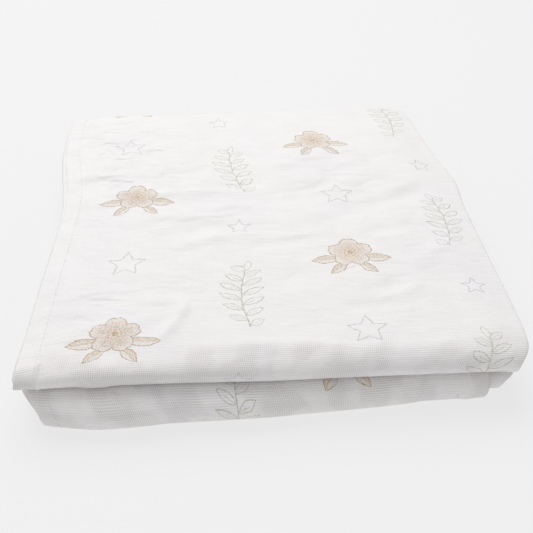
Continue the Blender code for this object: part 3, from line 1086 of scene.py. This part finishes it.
def amount(name, description, default, least=0, **more):
    """A number that a user can change."""
    return FloatProperty(name=name, description=description, default=default, min=least, **more)


def size(name, description, default):
    """A length that a user can change."""
    return amount(name, description, default, precision=5, subtype="DISTANCE", unit="LENGTH")


def colour(name, description, default):
    """A colour that a user can change."""
    return FloatVectorProperty(name=name, description=description, default=default,
                               size=3, min=0, max=1, subtype="COLOR")


class SwaddleCloth(bpy.types.PropertyGroup):
    """The muslin and its sewing."""

    colour: colour("Muslin", "Colour of the cotton threads", (0.92, 0.91, 0.89))
    # Painted shade: the gaps between the gauze's threads are darkened towards this colour, and so are
    # bands along the sewing thread's twist.
    gap_shade_colour: colour("Gaps", "Colour where the threads lie apart", (0.69, 0.665, 0.66))
    cool_colour: colour("Shade", "Cool cast that mottles the cloth", (0.905, 0.895, 0.90))
    thread_colour: colour("Thread", "Colour of the sewing thread", (0.84, 0.835, 0.83))
    thread_pitch: size("Thread pitch", "Distance between threads of the gauze", 1.2 * MM)
    weave_depth: size("Weave depth", "How far the threads stand out", 0.085 * MM)
    crinkle: size("Crinkle", "Height of the gauze's small crinkles", 0.9 * MM)
    thread: size("Sewing thread", "Diameter of the sewing thread", 0.42 * MM)
    stitch: size("Stitch", "Length of a hem stitch", 2.9 * MM)
    stitch_gap: size("Stitch gap", "Distance between hem stitches", 0.6 * MM)
    stitch_in: size("Stitch line", "Distance of the stitches from the cloth's edge", 10.8 * MM)


class SwaddlePrint(bpy.types.PropertyGroup):
    """The generic print of wild roses, sprigs and stars."""

    repeat: size("Repeat", "Distance from a motif to the next one of its kind", 150 * MM)
    star: size("Star", "Width of a printed star", 25 * MM)
    tan: colour("Tan", "Fill of the roses", (0.61, 0.45, 0.29))
    ochre: colour("Ochre", "Fill of the roses' leaves", (0.58, 0.46, 0.30))
    tan_line: colour("Tan line", "Lines of the roses", (0.43, 0.30, 0.16))
    sage: colour("Sage", "Lines of the sprigs", (0.45, 0.46, 0.36))
    lavender: colour("Lavender", "Lines of the stars", (0.56, 0.55, 0.61))


class SwaddleStage(bpy.types.PropertyGroup):
    """The floor, the light and the camera."""

    floor_colour: colour("Floor", "Colour of the floor", (0.20, 0.20, 0.20))
    floor_glow: amount("Floor glow", "Light that the floor gives itself", 0.678)
    room_colour: colour("Room", "Colour of the light all round", (0.99, 0.98, 1.0))
    room_light: amount("Room light", "Strength of the light all round", 0.595)
    lamp_colour: colour("Lamp", "Colour of the overhead lamp", (1.0, 0.995, 0.985))
    lamp_power: amount("Lamp power", "Power of the overhead lamp", 14.8, unit="POWER")
    lens: amount("Lens", "Focal length of the camera", 49.62, 1, subtype="DISTANCE_CAMERA", unit="CAMERA")


class SWADDLE_OT_lay_muslin(bpy.types.Operator):
    """Fold the muslin, with its creases, weave and print"""

    bl_idname = "swaddle.lay_muslin"
    bl_label = "Lay Muslin"

    def execute(self, context):
        cloth, prints = context.scene.swaddle_cloth, context.scene.swaddle_print
        piece = add_piece("muslin_blanket", muslin_sheet(cloth), muslin_material(cloth, prints))
        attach(piece, "root")
        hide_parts("blanket")
        return {"FINISHED"}


class SWADDLE_OT_sew_hem(bpy.types.Operator):
    bl_idname = "swaddle.sew_hem"
    bl_label = "Sew Hem"

    def execute(self, context):
        cloth = context.scene.swaddle_cloth
        stitches = add_piece("hem_stitches", stitch_mesh(cloth), thread_material(cloth))
        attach(stitches, "root")
        return {"FINISHED"}


class SWADDLE_OT_set_stage(bpy.types.Operator):
    """Set the floor, the light and the camera"""

    bl_idname = "swaddle.set_stage"
    bl_label = "Set Stage"

    def execute(self, context):
        stage = context.scene.swaddle_stage
        context.scene.view_settings.view_transform = "Standard"
        set_camera(stage)
        light_room(stage)
        lay_floor(stage)
        return {"FINISHED"}


class SWADDLE_PT_panel(bpy.types.Panel):
    """The swaddle blanket's pieces"""

    bl_idname = "SWADDLE_PT_panel"
    bl_label = "Swaddle Blanket"
    bl_space_type = "VIEW_3D"
    bl_region_type = "UI"
    bl_category = "Swaddle"

    def draw(self, context):
        for operator in OPERATORS:
            self.layout.operator(operator.bl_idname)
        for group in GROUPS:
            settings = getattr(context.scene, group)
            for name in settings.bl_rna.properties.keys():
                if name not in ("rna_type", "name"):
                    self.layout.prop(settings, name)


OPERATORS = (SWADDLE_OT_set_stage, SWADDLE_OT_lay_muslin, SWADDLE_OT_sew_hem)
GROUPS = {"swaddle_cloth": SwaddleCloth, "swaddle_print": SwaddlePrint, "swaddle_stage": SwaddleStage}


def register():
    for cls in (*GROUPS.values(), *OPERATORS, SWADDLE_PT_panel):
        bpy.utils.register_class(cls)
    for name, group in GROUPS.items():
        setattr(bpy.types.Scene, name, PointerProperty(type=group))


def unregister():
    for name in GROUPS:
        delattr(bpy.types.Scene, name)
    for cls in reversed((*GROUPS.values(), *OPERATORS, SWADDLE_PT_panel)):
        bpy.utils.unregister_class(cls)


def main():
    register()
    bpy.ops.swaddle.set_stage()
    bpy.ops.swaddle.lay_muslin()
    bpy.ops.swaddle.sew_hem()


if __name__ == "__main__":
    main()
